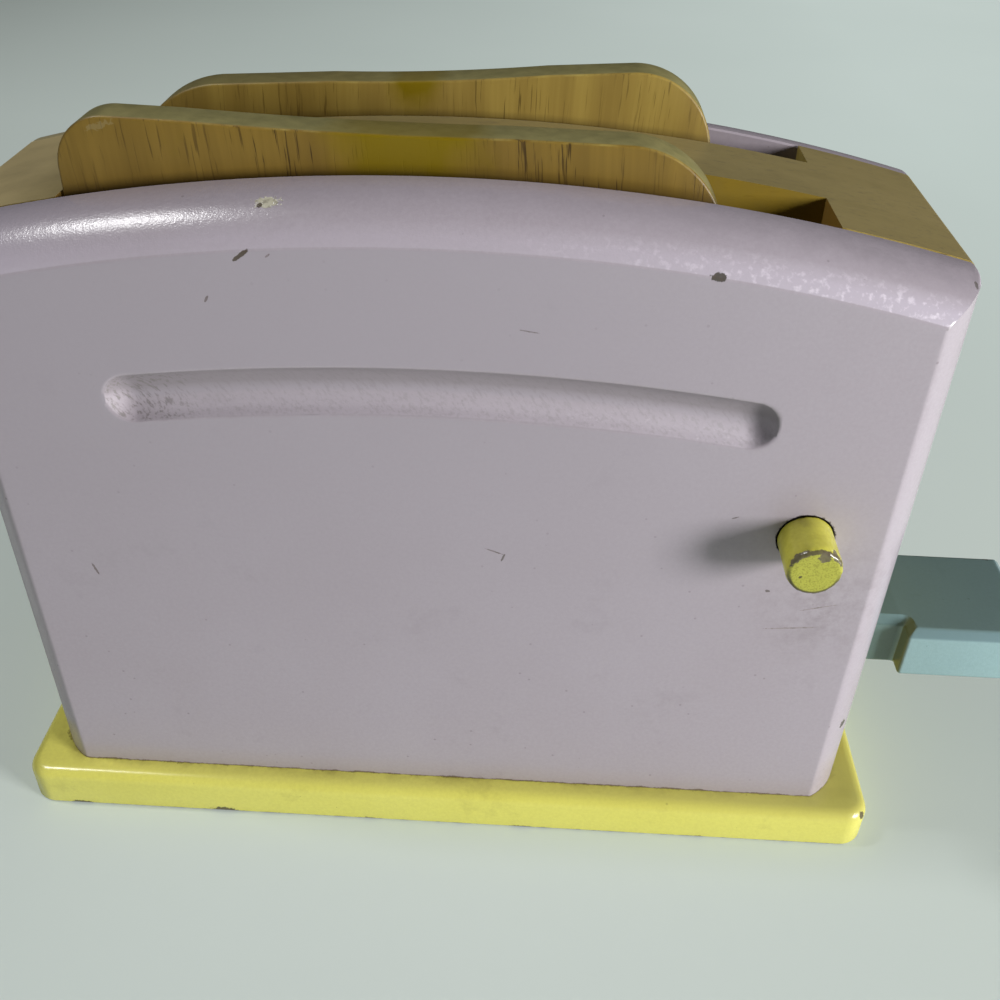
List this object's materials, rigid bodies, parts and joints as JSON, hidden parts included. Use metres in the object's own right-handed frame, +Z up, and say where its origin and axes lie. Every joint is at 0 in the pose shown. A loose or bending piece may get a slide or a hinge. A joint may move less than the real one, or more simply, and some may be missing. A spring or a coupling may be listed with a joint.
{
  "type": "toy toaster",
  "caption": "Wooden toy toaster with an arched top, bread slots, lift-up slices, a press-down end lever and a turning peg knob.",
  "frame": {"origin": "centre of the underside of the base board", "axes": "+X along the body towards the lever handle, +Y from the front panel to the back panel, +Z up"},
  "size_m": [0.268, 0.1, 0.1809],
  "materials": {
    "lavender_paint": "pale lavender semi-gloss paint",
    "butter_paint": "butter yellow semi-gloss paint",
    "mint_paint": "mint semi-gloss paint",
    "varnished_wood": "clear varnish, grain along the length",
    "slice_wood": "clear varnish, upright grain",
    "plain_wood": "bare turned wood",
    "zinc_steel": "zinc plated"
  },
  "bodies": {
    "housing": {"base_board": "butter_paint", "front_panel": "lavender_paint", "back_panel": "lavender_paint", "slotted_top": "varnished_wood", "left_end_wall": "varnished_wood", "right_end_wall": "varnished_wood", "divider": "varnished_wood", "lever_pin": "plain_wood", "stop_block": "plain_wood", "base_screws": "zinc_steel", "top_dowels": "plain_wood", "divider_dowels": "plain_wood", "front_dowels": "plain_wood", "back_dowels": "plain_wood"},
    "lever": {"lever": "mint_paint", "lift_bar": "plain_wood"},
    "front_slice": {"front_slice": "slice_wood"},
    "rear_slice": {"rear_slice": "slice_wood"},
    "knob": {"peg_knob": "butter_paint", "knob_washer": "zinc_steel", "knob_screw": "zinc_steel"}
  },
  "joints": [
    {"name": "lever_press", "type": "hinge", "parent": "housing", "child": "lever", "pos_m": [0.092, 0, 0.0425], "axis": [0, 1, 0], "range_deg": [0, 14]},
    {"name": "front_slice_lift", "type": "slide", "parent": "housing", "child": "front_slice", "axis": [0, 0, 1], "range_m": [0, 0.025]},
    {"name": "rear_slice_lift", "type": "slide", "parent": "housing", "child": "rear_slice", "axis": [0, 0, 1], "range_m": [0, 0.025]},
    {"name": "knob_turn", "type": "hinge", "parent": "housing", "child": "knob", "pos_m": [0.0802, -0.047, 0.0985], "axis": [0, -1, 0], "continuous": true}
  ],
  "couplings": [
    {"joint": "front_slice_lift", "follows": "lever_press", "m_per_rad": 0.10158},
    {"joint": "rear_slice_lift", "follows": "lever_press", "m_per_rad": 0.10158}
  ]
}
